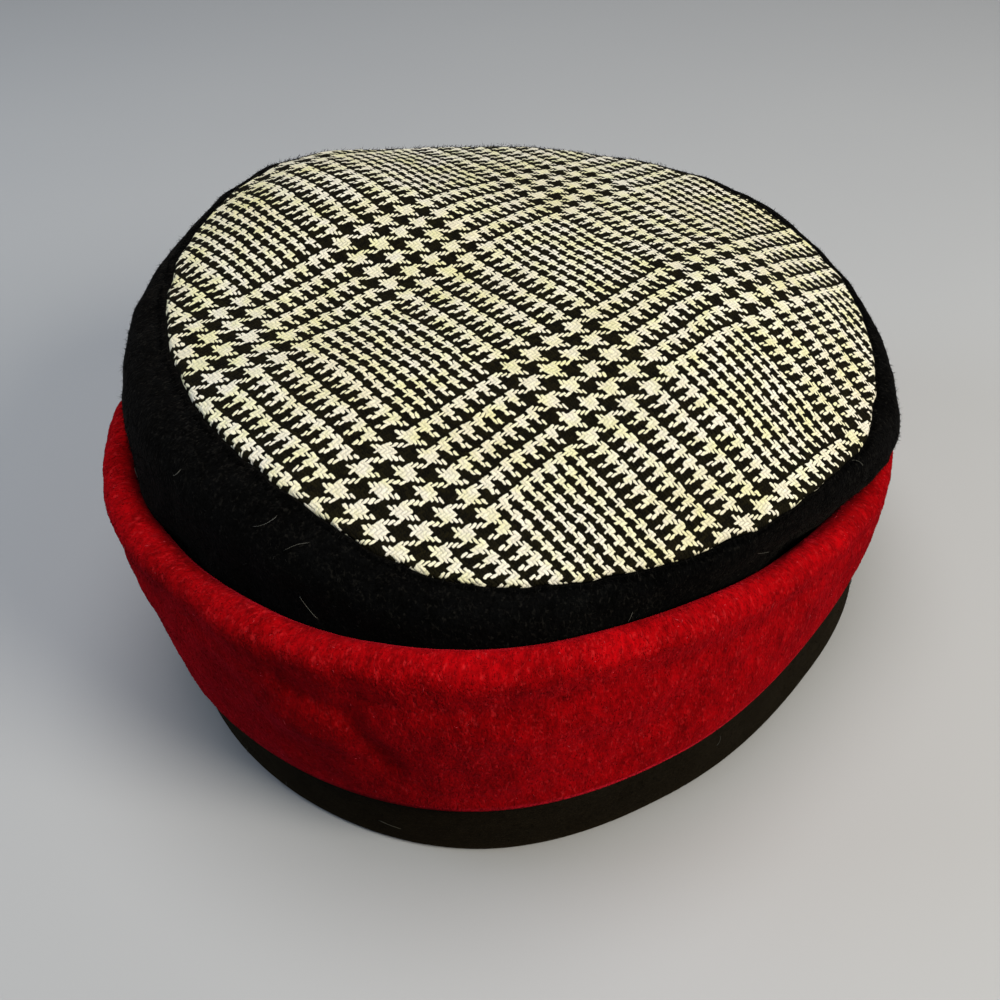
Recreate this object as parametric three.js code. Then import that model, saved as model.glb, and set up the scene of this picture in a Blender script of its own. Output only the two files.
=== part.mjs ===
// A soft pillbox hat: a checked cloth crown tip, a fleece side wall that bulges at the crown,
// a turned-up fleece cuff with a rolled top edge, and a hem band that stands on the surface.
// Millimetres, +Z up, the hem on Z = 0, the long way of the head opening along Y.

import * as THREE from 'three';

// Cloth and seams
const TIP_CLOTH = 1.8;
const SIDE_CLOTH = 2.6;
const HEM_CLOTH = 3.2;
const SEAM_GAP = 0.3;        // clear space between two pieces that are sewn together
const CUFF_GAP = 0.6;        // clear space between the cuff and the wall behind it
const ROLL_RADIUS = 5;       // half the thickness of the cuff's folded top edge
const CUFF_FOOT_OUT = 2;     // how far the cuff's lower edge stands out from the hem band
const CUFF_FOOT_DROP = 0.8;  // how far that edge hangs over the seam
const HEM_ROUND = 1;         // rounding of the hem band's lower edges

// The hat's section every 30 degrees, anticlockwise from +X. Heights are above the surface, and
// the columns ending in Out are measured outwards from the hem's radius at that angle.
const SECTIONS = [
  { angle: 0, hemRadius: 93, hemTop: 26, rollHeight: 51.5, rollOut: -2.5, bulgeHeight: 64, bulgeOut: -4,
    seamRadius: 88.5, seamHeight: 73.5 },
  { angle: 30, hemRadius: 98.5, hemTop: 29, rollHeight: 46.5, rollOut: 0, bulgeHeight: 58, bulgeOut: 4,
    seamRadius: 95, seamHeight: 71.5 },
  { angle: 60, hemRadius: 105, hemTop: 27, rollHeight: 50, rollOut: 1.5, bulgeHeight: 67, bulgeOut: -3,
    seamRadius: 96.5, seamHeight: 82 },
  { angle: 90, hemRadius: 110, hemTop: 23.5, rollHeight: 58, rollOut: 2, bulgeHeight: 76, bulgeOut: -6,
    seamRadius: 95, seamHeight: 91 },
  { angle: 120, hemRadius: 107, hemTop: 20, rollHeight: 65.5, rollOut: 2.5, bulgeHeight: 81, bulgeOut: -5,
    seamRadius: 94.5, seamHeight: 95.5 },
  { angle: 150, hemRadius: 99, hemTop: 16, rollHeight: 71, rollOut: 3, bulgeHeight: 87, bulgeOut: 0,
    seamRadius: 92, seamHeight: 101.5 },
  { angle: 180, hemRadius: 97, hemTop: 12.5, rollHeight: 73.5, rollOut: 3, bulgeHeight: 97.5, bulgeOut: 5.5,
    seamRadius: 94, seamHeight: 110.8 },
  { angle: 210, hemRadius: 102, hemTop: 10, rollHeight: 73, rollOut: 1, bulgeHeight: 94, bulgeOut: 3,
    seamRadius: 95.5, seamHeight: 106.6 },
  { angle: 240, hemRadius: 110, hemTop: 14, rollHeight: 72.5, rollOut: 3.3, bulgeHeight: 88, bulgeOut: -2.5,
    seamRadius: 92.5, seamHeight: 101.5 },
  { angle: 270, hemRadius: 111, hemTop: 20.5, rollHeight: 69.5, rollOut: 0, bulgeHeight: 80, bulgeOut: -7,
    seamRadius: 90.5, seamHeight: 95 },
  { angle: 300, hemRadius: 108.5, hemTop: 22, rollHeight: 69.5, rollOut: -1, bulgeHeight: 75, bulgeOut: -7.5,
    seamRadius: 91, seamHeight: 81 },
  { angle: 330, hemRadius: 98, hemTop: 22, rollHeight: 61.5, rollOut: -3.5, bulgeHeight: 66.5, bulgeOut: -9.5,
    seamRadius: 84.5, seamHeight: 73.5 },
];

// The crown's dome over its seam, and the broad rises and the valley that lie on it
const DOME_HEIGHT = 12.5;
const DOME_POWER = 1.4;
const CROWN_FORMS = [
  { name: 'right rise', x: 49, y: 30, long: 51, short: 41, turn: 73, height: 8.4 },
  { name: 'middle valley', x: -36, y: -36, long: 70, short: 30.5, turn: 44, height: -7.4 },
  { name: 'left rise', x: -71, y: -36, long: 70, short: 56, turn: 151, height: 7.2 },
];
const FORM_EDGE_POWER = 6;   // the forms fade out towards the seam

// Fineness of the meshes
const STEPS_AROUND = 72;
const TIP_RINGS = 10;
const SHOULDER_STEPS = 6;
const CUFF_FACE_STEPS = 6;
const ROLL_STEPS = 6;

// Where the sections' axis stands, so that the hat's box is centred on the origin
const AXIS_X = 4.6;
const AXIS_Y = -0.42;

const COLOURS = { tip: 0xd8d4c0, side: 0x121114, cuff: 0xb01218, hem: 0x141316 };

const radians = THREE.MathUtils.degToRad;

// A column of the table at any angle, as a smooth curve that closes on itself
function around(column, angle) {
  const step = 360 / SECTIONS.length;
  const place = THREE.MathUtils.euclideanModulo(angle, 360) / step;
  const row = Math.floor(place);
  const t = place - row;
  const value = (k) => SECTIONS[(row + k + SECTIONS.length) % SECTIONS.length][column];
  const [a, b, c, d] = [value(-1), value(0), value(1), value(2)];
  return b + 0.5 * t * (c - a + t * (2 * a - 5 * b + 4 * c - d + t * (3 * (b - c) + d - a)));
}

// All columns at one angle
function sectionAt(angle) {
  const section = {};
  for (const column of Object.keys(SECTIONS[0])) {
    section[column] = column === 'angle' ? angle : around(column, angle);
  }
  return section;
}

// A closed ring made of one closed outline, [radius, height] points, at each step around
function ringGeometry(outlineAt) {
  const positions = [];
  const faces = [];
  let count = 0;
  for (let i = 0; i < STEPS_AROUND; i += 1) {
    const angle = (360 * i) / STEPS_AROUND;
    const outline = outlineAt(sectionAt(angle));
    count = outline.length;
    for (const [radius, height] of outline) {
      positions.push(radius * Math.cos(radians(angle)), radius * Math.sin(radians(angle)), height);
    }
  }
  for (let i = 0; i < STEPS_AROUND; i += 1) {
    const next = (i + 1) % STEPS_AROUND;
    for (let j = 0; j < count; j += 1) {
      const k = (j + 1) % count;
      faces.push(i * count + j, next * count + j, next * count + k);
      faces.push(i * count + j, next * count + k, i * count + k);
    }
  }
  const geometry = new THREE.BufferGeometry();
  geometry.setAttribute('position', new THREE.Float32BufferAttribute(positions, 3));
  geometry.setIndex(faces);
  return geometry;
}

// The seam's height split into a level, a tilt and what is left over
function seamPlane() {
  let level = 0;
  let alongX = 0;
  let alongY = 0;
  for (const row of SECTIONS) {
    level += row.seamHeight / SECTIONS.length;
    alongX += (2 * row.seamHeight * Math.cos(radians(row.angle))) / SECTIONS.length;
    alongY += (2 * row.seamHeight * Math.sin(radians(row.angle))) / SECTIONS.length;
  }
  return { level, alongX, alongY };
}

const PLANE = seamPlane();

// Height of the crown's upper face at a share of the way from the axis to the seam
function crownHeight(share, section) {
  const cos = Math.cos(radians(section.angle));
  const sin = Math.sin(radians(section.angle));
  const tilt = PLANE.alongX * cos + PLANE.alongY * sin;
  const left = section.seamHeight - PLANE.level - tilt;
  let height = PLANE.level + tilt * share + left * share ** 2;
  height += DOME_HEIGHT * (1 - share ** DOME_POWER);
  const x = share * section.seamRadius * cos;
  const y = share * section.seamRadius * sin;
  for (const form of CROWN_FORMS) {
    const turn = radians(form.turn);
    const along = ((x - form.x) * Math.cos(turn) + (y - form.y) * Math.sin(turn)) / form.long;
    const across = ((y - form.y) * Math.cos(turn) - (x - form.x) * Math.sin(turn)) / form.short;
    height += form.height * Math.exp(-(along ** 2) - across ** 2) * (1 - share ** FORM_EDGE_POWER);
  }
  return height;
}

// The crown tip: a domed disc of cloth, made as rings from the axis out and back underneath
function crownTipGeometry() {
  const positions = [];
  const faces = [];
  const sides = [0, -TIP_CLOTH];
  for (const drop of sides) {
    positions.push(0, 0, crownHeight(0, sectionAt(0)) + drop);
    for (let ring = 1; ring <= TIP_RINGS; ring += 1) {
      const share = Math.sin((Math.PI / 2) * (ring / TIP_RINGS));
      for (let i = 0; i < STEPS_AROUND; i += 1) {
        const section = sectionAt((360 * i) / STEPS_AROUND);
        const radius = share * (section.seamRadius - SEAM_GAP / 2);
        const angle = radians(section.angle);
        positions.push(radius * Math.cos(angle), radius * Math.sin(angle));
        positions.push(crownHeight(share, section) + drop);
      }
    }
  }
  const sideSize = 1 + TIP_RINGS * STEPS_AROUND;
  const point = (side, ring, i) => (
    side * sideSize + (ring === 0 ? 0 : 1 + (ring - 1) * STEPS_AROUND + (i % STEPS_AROUND)));
  const addFace = (side, a, b, c) => {
    if (side === 0) faces.push(a, b, c);
    else faces.push(a, c, b);
  };
  for (let side = 0; side < 2; side += 1) {
    for (let i = 0; i < STEPS_AROUND; i += 1) {
      addFace(side, point(side, 0, 0), point(side, 1, i), point(side, 1, i + 1));
      for (let ring = 1; ring < TIP_RINGS; ring += 1) {
        addFace(side, point(side, ring, i), point(side, ring + 1, i), point(side, ring + 1, i + 1));
        addFace(side, point(side, ring, i), point(side, ring + 1, i + 1), point(side, ring, i + 1));
      }
    }
  }
  for (let i = 0; i < STEPS_AROUND; i += 1) {
    const [a, b] = [point(0, TIP_RINGS, i), point(0, TIP_RINGS, i + 1)];
    const [c, d] = [point(1, TIP_RINGS, i), point(1, TIP_RINGS, i + 1)];
    faces.push(a, c, d, a, d, b);
  }
  const geometry = new THREE.BufferGeometry();
  geometry.setAttribute('position', new THREE.Float32BufferAttribute(positions, 3));
  geometry.setIndex(faces);
  return geometry;
}

// Centre of the cuff's rolled edge, as [radius, height]
function rollCentre(s) {
  return [s.hemRadius + s.rollOut, s.rollHeight];
}

// A point beside the roll, at a turn from straight outwards, clear of it by the cuff's gap
function besideRoll(s, turn) {
  const [radius, height] = rollCentre(s);
  const reach = ROLL_RADIUS + CUFF_GAP;
  return [radius + reach * Math.cos(radians(turn)), height + reach * Math.sin(radians(turn))];
}

// Outer face of the side wall, from the crown's seam over the bulge, in behind the roll and down
function sideFace(s) {
  const seam = [s.seamRadius + SEAM_GAP / 2, s.seamHeight + 0.6];
  const bulge = [s.hemRadius + s.bulgeOut, s.bulgeHeight];
  const points = [];
  for (let i = 0; i <= SHOULDER_STEPS; i += 1) {
    const turn = (Math.PI / 2) * (i / SHOULDER_STEPS);
    const out = Math.sin(turn) ** 0.8;
    const down = 1 - Math.cos(turn) ** 0.8;
    points.push([
      seam[0] + (bulge[0] - seam[0]) * out,
      seam[1] + (bulge[1] - seam[1]) * down,
    ]);
  }
  // Where the bulge hangs over the roll the wall rests on its top, and otherwise on its inner side
  const over = THREE.MathUtils.clamp((s.bulgeOut - s.rollOut + ROLL_RADIUS) / (2 * ROLL_RADIUS), 0, 1);
  const restTurn = 165 - 65 * over;
  const neckTurn = 182;
  points.push(besideRoll(s, restTurn));
  points.push(besideRoll(s, (restTurn + neckTurn) / 2));
  points.push(besideRoll(s, neckTurn));
  points.push([s.hemRadius - CUFF_GAP, s.hemTop + SEAM_GAP]);
  return points;
}

// The same face moved inwards by the cloth's thickness
function offsetInwards(points, distance) {
  return points.map((point, i) => {
    const before = points[Math.max(i - 1, 0)];
    const after = points[Math.min(i + 1, points.length - 1)];
    const run = new THREE.Vector2(after[0] - before[0], after[1] - before[1]).normalize();
    return [point[0] + run.y * distance, point[1] - run.x * distance];
  });
}

function sideOutline(s) {
  const face = sideFace(s);
  // Where the wall stands straight under the seam, its inner face stays below the crown tip
  const inner = offsetInwards(face, SIDE_CLOTH).map(([radius, height]) => {
    if (radius > s.seamRadius) return [radius, height];
    const under = crownHeight(radius / s.seamRadius, s) - TIP_CLOTH - SEAM_GAP;
    return [radius, Math.min(height, under)];
  });
  inner[0] = [face[0][0], s.seamHeight - SIDE_CLOTH + 0.6];
  inner[inner.length - 1] = [s.hemRadius - HEM_CLOTH + 0.2, s.hemTop + SEAM_GAP];
  return [...face.reverse(), ...inner];
}

// The cuff: outer face from its foot up, over the rolled edge, and down the inner face
function cuffOutline(s) {
  const [rollRadius, rollHeight] = rollCentre(s);
  const foot = [s.hemRadius + CUFF_FOOT_OUT, s.hemTop - CUFF_FOOT_DROP];
  const points = [];
  for (let i = 0; i < CUFF_FACE_STEPS; i += 1) {
    const t = i / CUFF_FACE_STEPS;
    const out = Math.sin((Math.PI / 2) * t);
    points.push([
      foot[0] + (rollRadius + ROLL_RADIUS - foot[0]) * out,
      foot[1] + (rollHeight - foot[1]) * t,
    ]);
  }
  for (let i = 0; i <= ROLL_STEPS; i += 1) {
    const turn = Math.PI * (i / ROLL_STEPS);
    points.push([rollRadius + ROLL_RADIUS * Math.cos(turn), rollHeight + ROLL_RADIUS * Math.sin(turn)]);
  }
  points.push([s.hemRadius + CUFF_GAP / 2, foot[1]]);
  return points;
}

// The hem band: a flat folded strip that stands on its lower edge
function hemOutline(s) {
  const inner = s.hemRadius - HEM_CLOTH;
  return [
    [s.hemRadius - HEM_ROUND, 0],
    [s.hemRadius, HEM_ROUND],
    [s.hemRadius, s.hemTop],
    [inner, s.hemTop],
    [inner, HEM_ROUND],
    [inner + HEM_ROUND, 0],
  ];
}

function piece(name, geometry, color, roughness) {
  const material = new THREE.MeshStandardMaterial({ color, roughness, metalness: 0 });
  const mesh = new THREE.Mesh(geometry, material);
  mesh.name = name;
  return mesh;
}

const hat = new THREE.Group();
hat.position.set(AXIS_X, AXIS_Y, 0);
hat.add(piece('crown_tip', crownTipGeometry(), COLOURS.tip, 0.9));
hat.add(piece('crown_side', ringGeometry(sideOutline), COLOURS.side, 0.95));
hat.add(piece('cuff', ringGeometry(cuffOutline), COLOURS.cuff, 0.95));
hat.add(piece('hem_band', ringGeometry(hemOutline), COLOURS.hem, 0.9));

export default hat;
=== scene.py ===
"""A soft pillbox hat: a crown tip of glen check, a black fleece side wall, a turned-up red fleece
cuff and a black hem band, laid out as a Blender add-on. Metres, +Z up, the hem on Z = 0."""

import math

import bpy
import numpy as np
from mathutils import Matrix, Vector, noise


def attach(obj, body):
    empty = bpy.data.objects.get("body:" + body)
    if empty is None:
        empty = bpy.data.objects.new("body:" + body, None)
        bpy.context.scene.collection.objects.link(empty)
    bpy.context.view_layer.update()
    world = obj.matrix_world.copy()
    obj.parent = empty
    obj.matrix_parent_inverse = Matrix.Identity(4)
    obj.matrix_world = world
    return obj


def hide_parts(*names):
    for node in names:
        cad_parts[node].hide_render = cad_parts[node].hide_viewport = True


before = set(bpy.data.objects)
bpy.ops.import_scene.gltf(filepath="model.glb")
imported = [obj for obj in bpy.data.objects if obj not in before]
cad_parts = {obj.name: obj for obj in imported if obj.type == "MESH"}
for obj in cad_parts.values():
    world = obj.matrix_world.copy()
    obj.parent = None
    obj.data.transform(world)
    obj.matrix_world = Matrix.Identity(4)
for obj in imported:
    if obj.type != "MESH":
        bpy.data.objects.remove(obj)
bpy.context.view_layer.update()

bl_info = {
    "name": "Pillbox Hat",
    "version": (1, 0, 0),
    "blender": (4, 5, 0),
    "location": "View3D > Sidebar > Hat",
    "description": "Builds a soft pillbox hat with a checked crown and a turned-up fleece cuff",
    "category": "Add Mesh",
}

MM = 0.001

# The hat's own axis, which stands a little off the frame's
AXIS = Vector((4.6, -0.42, 0)) * MM

# The hat's section every 30 degrees, anticlockwise from +X, in millimetres. The columns that end
# in _out are measured outwards from the hem's radius at that angle.
COLUMNS = ("hem_radius", "hem_top", "roll_height", "roll_out", "bulge_height", "bulge_out",
           "seam_radius", "seam_height")
SECTIONS = np.array((
    (93, 26, 51.5, -2.5, 64, -4, 88.5, 73.5),
    (98.5, 29, 46.5, 0, 58, 4, 95, 71.5),
    (105, 27, 50, 1.5, 67, -3, 96.5, 82),
    (110, 23.5, 58, 2, 76, -6, 95, 91),
    (107, 20, 65.5, 2.5, 81, -5, 94.5, 95.5),
    (99, 16, 71, 3, 87, 0, 92, 101.5),
    (97, 12.5, 73.5, 3, 97.5, 5.5, 94, 110.8),
    (102, 10, 73, 1, 94, 3, 95.5, 106.6),
    (110, 14, 72.5, 3.3, 88, -2.5, 92.5, 101.5),
    (111, 20.5, 69.5, 0, 80, -7, 90.5, 95),
    (108.5, 22, 69.5, -1, 75, -7.5, 91, 81),
    (98, 22, 61.5, -3.5, 66.5, -9.5, 84.5, 73.5),
)) * MM

# The crown's dome, and the broad rises and the valley on it: x, y, long, short, turn, height.
# A power of the share of the way to the seam says how late the dome falls and the forms fade.
DOME_HEIGHT = 12.5 * MM
DOME_POWER = 1.4
FORM_POWER = 6
CROWN_FORMS = (
    (49, 30, 51, 41, 73, 8.4),
    (-36, -36, 70, 30.5, 44, -7.4),
    (-71, -36, 70, 56, 151, 7.2),
)

# How the glen check lies on the crown: threads counted across and along from the crown's axis
CHECK_TURN = 1.4621
THREAD_ACROSS = 0.919 * MM
THREAD_ALONG = 0.831 * MM
CHECK_START = (87.98, -26.42)

# Noise that bends the threads: its scale, and how many threads it moves them
THREAD_WANDER = ((90, 2.2), (420, 0.8), (1500, 0.55))

# The check's threads each way: where the count starts, the repeat, and where the twos end
FOURS_END = 36
ACROSS_COUNT = (10, 68, 64)
ALONG_COUNT = (2, 80, 76)

# Creases that stand up from the cuff's face: where each begins and ends, as an angle and a share
# of the face's height, then its width and how far it stands out, in millimetres
CUFF_CREASES = (
    ((281, 0.80), (289, 0.70), 3.0, 1.1),
    ((288, 0.72), (292, 0.35), 3.5, 1.5),
    ((276, 0.62), (286, 0.52), 6.0, -1.4),
    ((262, 0.80), (279, 0.78), 4.5, -1.0),
    ((301, 0.66), (316, 0.60), 6.0, -0.8),
    ((322, 0.30), (336, 0.62), 7.0, 0.8),
)
CREASE_REACH = (0.108, 0.050)  # metres to a radian round the cuff, and to its face's whole height

# Lumps of a cloth's surface: how high and how far across, in millimetres, and a seed
TIP_LUMPS = ((0.22, 17, 9),)
WALL_LUMPS = ((0.9, 34, 1), (0.45, 9, 2), (0.16, 3.5, 5))
WALL_SAG = ((1.2, 20, 15),)
CUFF_LUMPS = ((0.8, 30, 6), (0.40, 11, 7), (0.13, 3.5, 8))
ROLL_LUMPS = ((0.55, 15, 16),)
HEM_LUMPS = ((0.35, 22, 11), (0.12, 5, 12))
SEAM_RING = 92 * MM

# Steps round the hat, and points along each piece's section
TIP_STEPS, FLEECE_STEPS, HEM_STEPS, PILE_STEPS = 256, 768, 512, 384
TIP_RINGS, TIP_EDGE_RINGS = 92, 8
WALL_POINTS = 60
FACE_POINTS, ROLL_POINTS, BACK_POINTS = 28, 22, 14
HEM_FACE_POINTS, HEM_TURN_POINTS, HEM_BACK_POINTS = 12, 11, 10
BULGE_POINTS = 25

# A cloth's hidden side has only every so many of the points of the side that shows
TIP_UNDER_EVERY, WALL_INNER_EVERY, CUFF_INNER_EVERY = 4, 5, 2

# Where the pieces meet, measured from the hem's and the seam's radius and from their heights
WALL_OUT_OF_SEAM, WALL_UNDER_SEAM = 0.3 * MM, 1.0 * MM
TIP_INSIDE_SEAM = 0.15 * MM
WALL_OFF_ROLL = 0.6 * MM
WALL_BEHIND_HEM, WALL_ABOVE_HEM = 0.6 * MM, 0.3 * MM
WALL_INSIDE_HEM = 3 * MM
WALL_TUCK = np.array((-1.6, 0.25)) * MM  # radius and height of its inner side under the crown
FACE_OUT_OF_HEM, BACK_OUT_OF_HEM, CUFF_UNDER_HEM_TOP = 2 * MM, 0.3 * MM, 0.8 * MM

# How far the crown's edge turns over into the seam, and how near the seam its pucker stays
TIP_EDGE_TURN = math.radians(84)
PUCKER_POWER = 14

# How round the wall's bulge is, how far round the roll the wall comes to rest where it leans
# furthest in and furthest out, in degrees, and how far round it turns down behind the roll
BULGE_POWER = 0.8
REST_TURNS = (165, 100)
NECK_TURN = math.radians(182)

# Where the wall sags over the roll: how far above the roll's middle, and how widely
SAG_HEIGHT, SAG_WIDTH = 3 * MM, 5 * MM

# The cuff's face swells in the middle and is pinched under the roll, as shares of its height
FACE_SWELL = 0.008
FACE_PINCH, PINCH_AT, PINCH_WIDTH = 0.018, 0.84, 0.10

# The cuff's cloth takes up to this share of the room between its face and its back. It is held
# for this far from its feet, and lumps less where it is out of sight. Points of the roll are
# counted from the face: how many of them show, and where the roll's own lumps are.
CLOTH_SHARE = 0.46
CUFF_HELD = 6 * MM
HIDDEN_LUMPS = 0.2
ROLL_IN_SIGHT = 14
ROLL_LUMPS_AT, ROLL_LUMPS_WIDTH = 10, 9

# The hem's foot lies flat: its lumps reach their full size at this height, and its fibres stand
# only above the next one
HEM_FREE = 8 * MM
HEM_FIBRES_FROM = 2.5 * MM

# Painted shade in the corner where the cuff meets the wall: where it is darkest, how wide it
# is round the roll, what is left of the fleece's colour there, and how the colour falls off towards
# it
CORNER_TURN, CORNER_WIDTH = math.radians(150), math.radians(45)
CORNER_SHADE = (0.10, 0.10, 0.10)
CORNER_POWER = 1.2

# How each napped cloth looks: its flecks' colour and their share, its clumps to a metre, how
# mottled it is, how its nap is stretched, how deep its bump is, and its sheen
BLACK_FLEECE = dict(
    fleck=(0.014, 0.0135, 0.012), flecks=0.5, clump=400, mottle=0.8, stretch=(1, 1, 0.8),
    bump=0.7 * MM, sheen=0.018, sheen_tint=(1, 0.90, 0.80))
RED_FLEECE = dict(
    fleck=(0.64, 0.022, 0.026), flecks=0.40, clump=370, mottle=0.42, stretch=(1, 1, 0.5),
    bump=0.55 * MM, sheen=0.40, sheen_tint=(1, 0.02, 0.05))
BLACK_HEM = dict(
    fleck=(0.03, 0.026, 0.018), flecks=0.35, clump=900, mottle=0.35, stretch=(1, 1, 1),
    bump=0.25 * MM, sheen=0.034, sheen_tint=(1, 0.68, 0.30))

# Raised fibres: the colours of their root and tip, and the colour and the share of the odd ones
RED_FIBRES = dict(
    root=(0.27, 0.001, 0.003), tip=(0.44, 0.008, 0.015), odd=(0.66, 0.07, 0.09), odd_share=0.03)
BLACK_FIBRES = dict(
    root=(0.0008, 0.0009, 0.0010), tip=(0.0026, 0.0027, 0.0028), odd=(0.020, 0.020, 0.019),
    odd_share=0.05)

# How thick the fibres and the hairs are
CUFF_FIBRE, WALL_FIBRE, HEM_FIBRE, HAIR = 0.13 * MM, 0.15 * MM, 0.13 * MM, 0.10 * MM

# How thickly fibres stand beside a cloth's face: on the roll, low on the wall, and where few of
# them would show. The wall's points are counted from the seam.
ON_ROLL, LOW_ON_WALL, HARDLY_SEEN = 2.4, 1.5, 0.05
WALL_LOW_FROM, WALL_IN_SIGHT = 12, 24

# The camera: its place, and the directions of its right and its upper side
CAMERA_PLACE = (0.17266, -0.19372, 0.2523)
CAMERA_RIGHT = (0.7592, 0.6484, -0.0570)
CAMERA_UP = (-0.4000, 0.5338, 0.7450)

# The soft lights: name, the studio setting of their power, place, size and colour
LAMPS = (
    ("key light", "key_power", (0.85, 0.10, 0.62), 0.45, (1, 0.92, 0.77)),
    ("top light", "top_power", (-0.05, 0.1, 1.2), 0.9, (1, 0.98, 0.95)),
    ("fill light", "fill_power", (-0.9, -0.6, 0.55), 0.6, (0.74, 0.87, 1)),
)
LAMP_AIM = (0, 0, 0.06)
SKY_COLOUR = (0.8, 0.86, 1, 1)
SKY_STRENGTH = 0.12
FLOOR_REACH = 6.0


# ------------------------------------------------------------------ settings that a user changes


class HatForm(bpy.types.PropertyGroup):
    tip_cloth: bpy.props.FloatProperty(
        name="Tip cloth", description="Thickness of the crown tip's cloth",
        default=1.2 * MM, min=0.5 * MM, max=2 * MM, precision=4, subtype="DISTANCE", unit="LENGTH")
    side_cloth: bpy.props.FloatProperty(
        name="Wall fleece", description="Thickness of the side wall's fleece",
        default=2.6 * MM, min=1 * MM, max=4 * MM, precision=4, subtype="DISTANCE", unit="LENGTH")
    cuff_cloth: bpy.props.FloatProperty(
        name="Cuff fleece", description="Thickness of one layer of the cuff's fleece",
        default=2.4 * MM, min=1 * MM, max=3 * MM, precision=4, subtype="DISTANCE", unit="LENGTH")
    hem_cloth: bpy.props.FloatProperty(
        name="Hem band", description="Thickness of the folded hem band",
        default=3.2 * MM, min=2 * MM, max=4 * MM, precision=4, subtype="DISTANCE", unit="LENGTH")
    roll_radius: bpy.props.FloatProperty(
        name="Roll radius", description="Half the thickness of the cuff's folded top edge",
        default=5 * MM, min=3 * MM, max=7 * MM, precision=4, subtype="DISTANCE", unit="LENGTH")
    edge_turn: bpy.props.FloatProperty(
        name="Turned edge", description="Radius of the crown tip's edge as it turns into the seam",
        default=1.7 * MM, min=0.5 * MM, max=3 * MM, precision=4, subtype="DISTANCE", unit="LENGTH")
    pucker: bpy.props.FloatProperty(
        name="Seam pucker", description="How far the crown's seam wanders up and down",
        default=0.45 * MM, min=0, max=1 * MM, precision=5, subtype="DISTANCE", unit="LENGTH")
    wander: bpy.props.FloatProperty(
        name="Seam wander", description="How far the crown's seam strays in and out",
        default=0.5 * MM, min=0, max=1 * MM, precision=5, subtype="DISTANCE", unit="LENGTH")


class HatCloth(bpy.types.PropertyGroup):
    light_thread: bpy.props.FloatVectorProperty(
        name="Light thread", description="The check's light thread",
        default=(0.80, 0.77, 0.66), size=3, min=0, max=1, subtype="COLOR")
    dark_thread: bpy.props.FloatVectorProperty(
        name="Dark thread", description="The check's dark thread",
        default=(0.0060, 0.0050, 0.0018), size=3, min=0, max=1, subtype="COLOR")
    wall_fleece: bpy.props.FloatVectorProperty(
        name="Wall fleece", description="The side wall's fleece",
        default=(0.0011, 0.0012, 0.0013), size=3, min=0, max=1, subtype="COLOR")
    cuff_fleece: bpy.props.FloatVectorProperty(
        name="Cuff fleece", description="The cuff's fleece",
        default=(0.28, 0.0009, 0.0024), size=3, min=0, max=1, subtype="COLOR")
    hem_cloth: bpy.props.FloatVectorProperty(
        name="Hem cloth", description="The hem band's cloth",
        default=(0.0060, 0.0052, 0.0036), size=3, min=0, max=1, subtype="COLOR")
    cuff_fibres: bpy.props.IntProperty(
        name="Cuff fibres", description="Number of raised fibres on the cuff",
        default=40000, min=0, max=45000)
    wall_fibres: bpy.props.IntProperty(
        name="Wall fibres", description="Number of raised fibres on the side wall",
        default=18000, min=0, max=45000)
    hem_fibres: bpy.props.IntProperty(
        name="Hem fibres", description="Number of raised fibres on the hem band",
        default=3000, min=0, max=20000)
    seam_fibres: bpy.props.IntProperty(
        name="Seam fibres", description="Number of fibres that reach over the crown's seam",
        default=5000, min=0, max=20000)
    stray_hairs: bpy.props.IntProperty(
        name="Stray hairs", description="Number of loose pale hairs caught on the fleece",
        default=40, min=0, max=200)


class HatStudio(bpy.types.PropertyGroup):
    floor_colour: bpy.props.FloatVectorProperty(
        name="Floor", description="Colour of the studio floor",
        default=(0.44, 0.455, 0.475), size=3, min=0, max=1, subtype="COLOR")
    key_power: bpy.props.FloatProperty(
        name="Key light", description="Power of the large light above and to the right",
        default=9.8, min=0, max=100, subtype="POWER", unit="POWER")
    top_power: bpy.props.FloatProperty(
        name="Top light", description="Power of the soft light overhead",
        default=7.8, min=0, max=100, subtype="POWER", unit="POWER")
    fill_power: bpy.props.FloatProperty(
        name="Fill light", description="Power of the low light from the left",
        default=4.0, min=0, max=100, subtype="POWER", unit="POWER")
    lens: bpy.props.FloatProperty(
        name="Lens", description="Focal length of the camera",
        default=39.6 * MM, min=10 * MM, max=200 * MM, precision=4, subtype="DISTANCE",
        unit="LENGTH")


# ---------------------------------------------------------------------------- the hat's surfaces


def around(column, angles):
    """A column of the section table at any angles, as a smooth curve that closes on itself."""
    values = SECTIONS[:, COLUMNS.index(column)]
    place = np.degrees(angles) % 360 / 30
    row = np.floor(place).astype(int)
    t = place - row
    a, b, c, d = (values[(row + k) % len(values)] for k in (-1, 0, 1, 2))
    return b + 0.5 * t * (c - a + t * (2 * a - 5 * b + 4 * c - d + t * (3 * (b - c) + d - a)))


class Section:
    """The hat's section at an array of angles, one array for each column."""

    def __init__(self, angles):
        self.angles = angles
        for column in COLUMNS:
            setattr(self, column, around(column, angles))


def turns(count):
    """Angles of an even number of steps all the way round."""
    return np.arange(count) * 2 * math.pi / count


def rumple(points, size, seed):
    """Smooth noise from about -1 to 1 at points, with lumps of that size."""
    shape = points.shape[:-1]
    flat = points.reshape(-1, 3) / size + 17.3 * seed  # each seed reads the noise elsewhere
    values = [noise.noise(Vector(p)) for p in flat]
    return np.array(values).reshape(shape) * 1.6


def lumps_of(table, points):
    """The sum of a table's lumps at points, in metres."""
    return sum(high * MM * rumple(points, across * MM, seed) for high, across, seed in table)


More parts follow.
